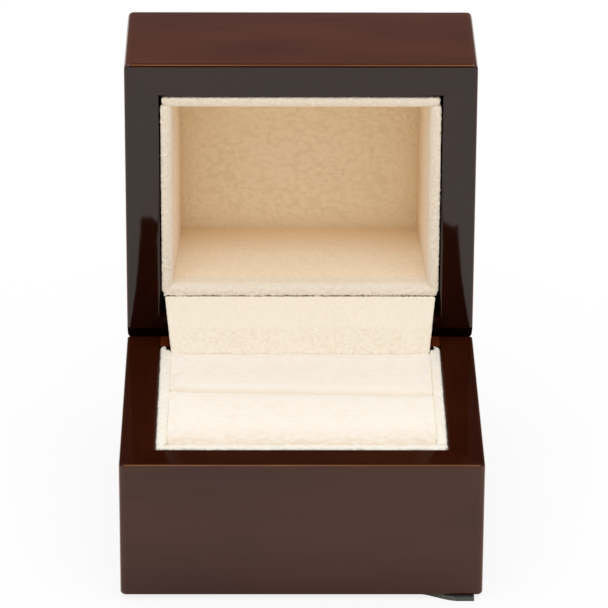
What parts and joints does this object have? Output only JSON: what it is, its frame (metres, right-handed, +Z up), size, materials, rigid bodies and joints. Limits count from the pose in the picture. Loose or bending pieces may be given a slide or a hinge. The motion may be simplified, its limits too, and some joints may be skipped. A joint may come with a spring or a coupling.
{
  "type": "wooden ring box",
  "caption": "Hinged lacquered wooden box for one ring, with a suede lining, a slotted ring cushion and a sprung lid whose hinge hides behind a cover flap.",
  "frame": {"origin": "centre of the underside, on the surface the box stands on", "axes": "+Z up, front of the box towards -Y, hinge line along X; stored with the lid thrown open by 90 degrees"},
  "size_m": [0.06, 0.076, 0.0754],
  "materials": {
    "lacquered_wood": "gloss lacquer over dark mahogany stain",
    "cream_suede": "short-napped suede cloth",
    "black_felt": "thin felt",
    "grey_card": "plain card",
    "hinge_brass": "bright pressed brass",
    "hinge_steel": "bare spring steel",
    "screw_brass": "turned brass"
  },
  "bodies": {
    "base": {"base_front_wall": "lacquered_wood", "base_back_wall": "lacquered_wood", "base_left_wall": "lacquered_wood", "base_right_wall": "lacquered_wood", "base_bottom_panel": "lacquered_wood", "base_liner_front": "cream_suede", "base_liner_left": "cream_suede", "base_liner_right": "cream_suede", "ring_cushion_front": "cream_suede", "ring_cushion_rear": "cream_suede", "base_felt": "black_felt", "cushion_board": "grey_card", "hinge_base_leaf": "hinge_brass", "hinge_pin": "hinge_steel", "base_leaf_screws": "screw_brass"},
    "lid": {"lid_front_wall": "lacquered_wood", "lid_back_wall": "lacquered_wood", "lid_left_wall": "lacquered_wood", "lid_right_wall": "lacquered_wood", "lid_top_panel": "lacquered_wood", "lid_liner_front": "cream_suede", "lid_liner_rear": "cream_suede", "lid_liner_left": "cream_suede", "lid_liner_right": "cream_suede", "lid_liner_roof": "cream_suede", "hinge_lid_leaf": "hinge_brass", "lid_leaf_screws": "screw_brass"},
    "flap": {"hinge_cover_flap": "cream_suede", "hinge_spring": "hinge_steel"}
  },
  "joints": [
    {"name": "lid_hinge", "type": "hinge", "parent": "base", "child": "lid", "pos_m": [0, 0.02417, 0.02505], "axis": [1, 0, 0], "range_deg": [0, 90], "deforming": ["hinge_spring"]},
    {"name": "flap_hinge", "type": "hinge", "parent": "base", "child": "flap", "pos_m": [0, 0.02417, 0.02505], "axis": [1, 0, 0], "range_deg": [0, 45]}
  ],
  "couplings": [
    {"joint": "flap_hinge", "follows": "lid_hinge", "ratio": 0.5}
  ]
}
